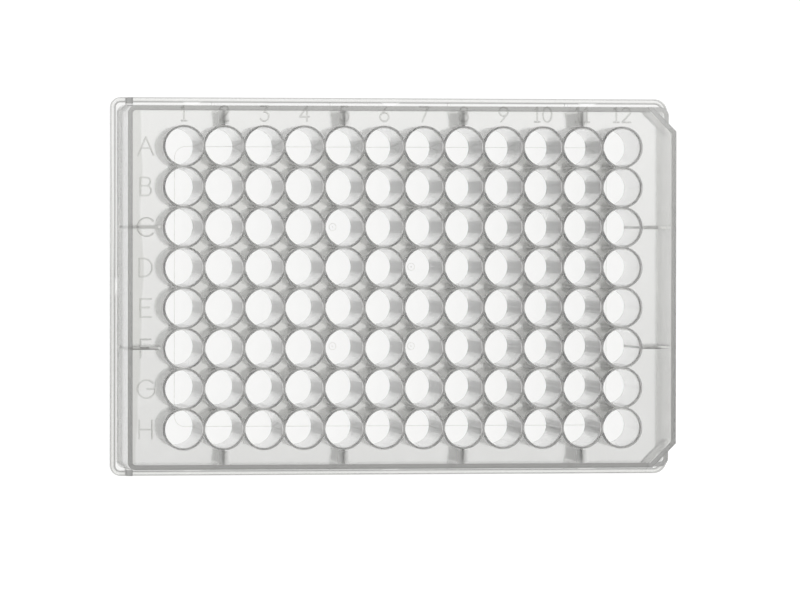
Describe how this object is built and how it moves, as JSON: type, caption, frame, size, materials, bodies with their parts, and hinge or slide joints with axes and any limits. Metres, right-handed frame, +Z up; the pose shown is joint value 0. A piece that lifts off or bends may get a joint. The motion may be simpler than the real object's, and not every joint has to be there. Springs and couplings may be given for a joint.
{
  "type": "96-well plate",
  "caption": "Rectangular storage plate with a grid of round flat-floored wells, keyed corners, a flanged skirt and ribs underneath.",
  "frame": {"origin": "middle of the footprint, on the surface that the plate stands on", "axes": "+X along the columns from 1 to 12, +Y towards row A, +Z up, out of the wells' mouths"},
  "size_m": [0.1278, 0.0854, 0.023],
  "materials": {
    "natural_polypropylene": "satin, translucent"
  },
  "bodies": {
    "root": {"well_plate": "natural_polypropylene"}
  },
  "joints": []
}
